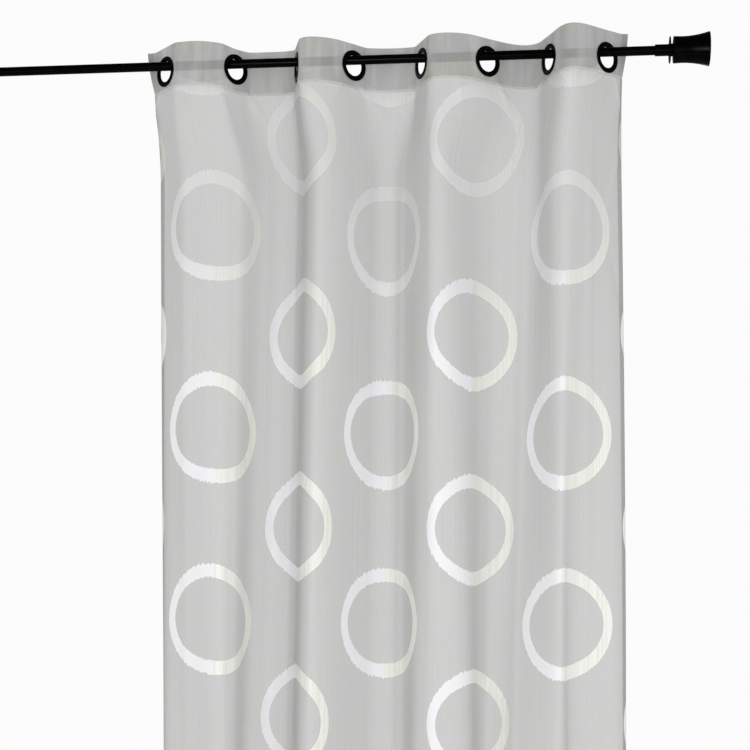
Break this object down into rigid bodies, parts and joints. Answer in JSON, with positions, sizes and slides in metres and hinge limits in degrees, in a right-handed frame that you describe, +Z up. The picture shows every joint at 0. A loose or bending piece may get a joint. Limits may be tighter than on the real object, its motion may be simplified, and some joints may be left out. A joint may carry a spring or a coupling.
{
  "type": "sheer eyelet curtain on a rod",
  "caption": "Sheer ring-patterned voile curtain with an eyelet heading, hanging in soft uneven folds on a slim black rod with trumpet finials.",
  "frame": {"origin": "on the rod's axis, midway between the two middle eyelets, where wall brackets would hold the rod", "axes": "+X along the rod, to the right as seen from the room; +Y away from the room, towards the window; +Z up"},
  "size_m": [1.7278, 0.1262, 2.4154],
  "materials": {
    "voile": "sheer pearl voile with woven satin rings",
    "eyelet": "gloss black",
    "rod_metal": "satin black"
  },
  "bodies": {
    "root": {"cloth": "voile", "eyelet_1_front": "eyelet", "eyelet_1_back": "eyelet", "eyelet_2_front": "eyelet", "eyelet_2_back": "eyelet", "eyelet_3_front": "eyelet", "eyelet_3_back": "eyelet", "eyelet_4_front": "eyelet", "eyelet_4_back": "eyelet", "eyelet_5_front": "eyelet", "eyelet_5_back": "eyelet", "eyelet_6_front": "eyelet", "eyelet_6_back": "eyelet", "eyelet_7_front": "eyelet", "eyelet_7_back": "eyelet", "eyelet_8_front": "eyelet", "eyelet_8_back": "eyelet", "rod": "rod_metal", "ferrule_left": "rod_metal", "disc_left": "rod_metal", "finial_left": "rod_metal", "ferrule_right": "rod_metal", "disc_right": "rod_metal", "finial_right": "rod_metal"}
  },
  "joints": []
}
